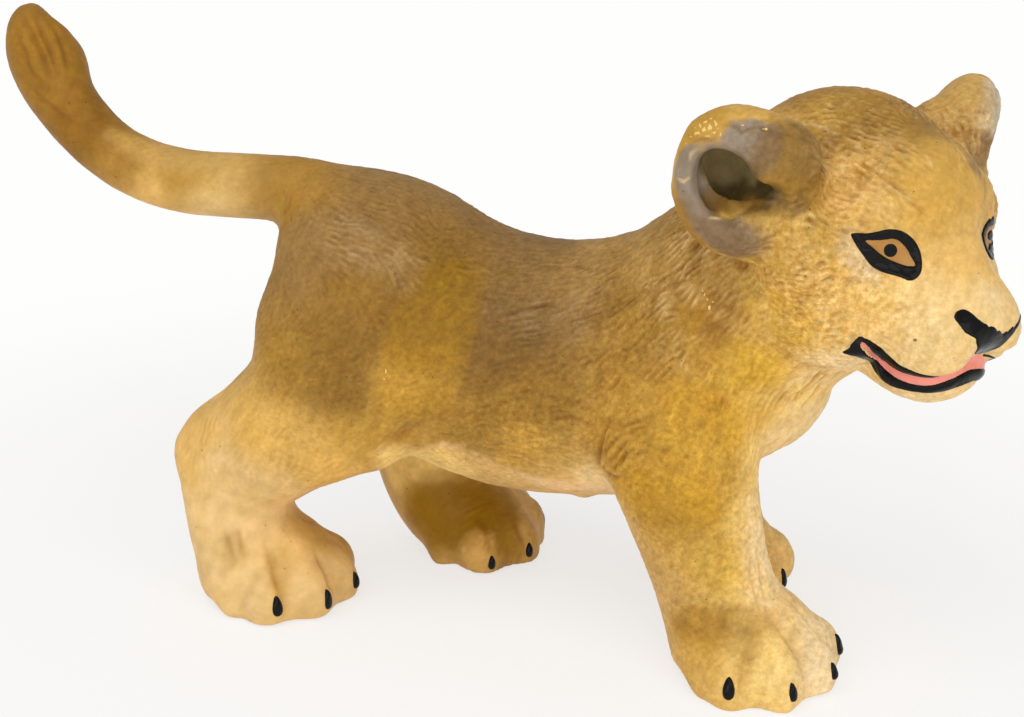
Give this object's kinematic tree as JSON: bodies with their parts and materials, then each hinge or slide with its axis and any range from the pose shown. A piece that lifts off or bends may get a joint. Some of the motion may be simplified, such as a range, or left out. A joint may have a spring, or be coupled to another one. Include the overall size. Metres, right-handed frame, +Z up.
{
  "type": "toy lion cub figure",
  "caption": "Small moulded plastic lion cub walking on all fours, with raised tail and turned head, hand painted in ochre and brown.",
  "frame": {"origin": "on the floor under the middle of the figure's bounding box", "axes": "+X from the tail to the head, +Y to the cub's left, +Z up"},
  "size_m": [0.0862, 0.0302, 0.0489],
  "materials": {
    "hide_hind": "matte hand-painted ochre and brown over soft plastic",
    "hide_fore": "matte hand-painted golden ochre over soft plastic",
    "hide_head": "matte hand-painted golden ochre, paler on the muzzle",
    "hide_tail": "matte hand-painted ochre, browner on the tuft",
    "black_paint": "gloss black paint",
    "amber_paint": "gloss light brown paint",
    "pink_paint": "gloss pink paint"
  },
  "bodies": {
    "root": {"hind_body": "hide_hind", "fore_body": "hide_fore", "head": "hide_head", "tail": "hide_tail", "eye_line_right": "black_paint", "eye_line_left": "black_paint", "pupil_right": "black_paint", "pupil_left": "black_paint", "iris_right": "amber_paint", "iris_left": "amber_paint", "nose": "black_paint", "mouth": "pink_paint", "lower_lip": "black_paint", "claw_hind_right_1": "black_paint", "claw_hind_right_2": "black_paint", "claw_hind_right_3": "black_paint", "claw_hind_right_4": "black_paint", "claw_hind_left_1": "black_paint", "claw_hind_left_2": "black_paint", "claw_hind_left_3": "black_paint", "claw_hind_left_4": "black_paint", "claw_front_right_1": "black_paint", "claw_front_right_2": "black_paint", "claw_front_right_3": "black_paint", "claw_front_right_4": "black_paint", "claw_front_left_1": "black_paint", "claw_front_left_2": "black_paint", "claw_front_left_3": "black_paint", "claw_front_left_4": "black_paint"}
  },
  "joints": []
}
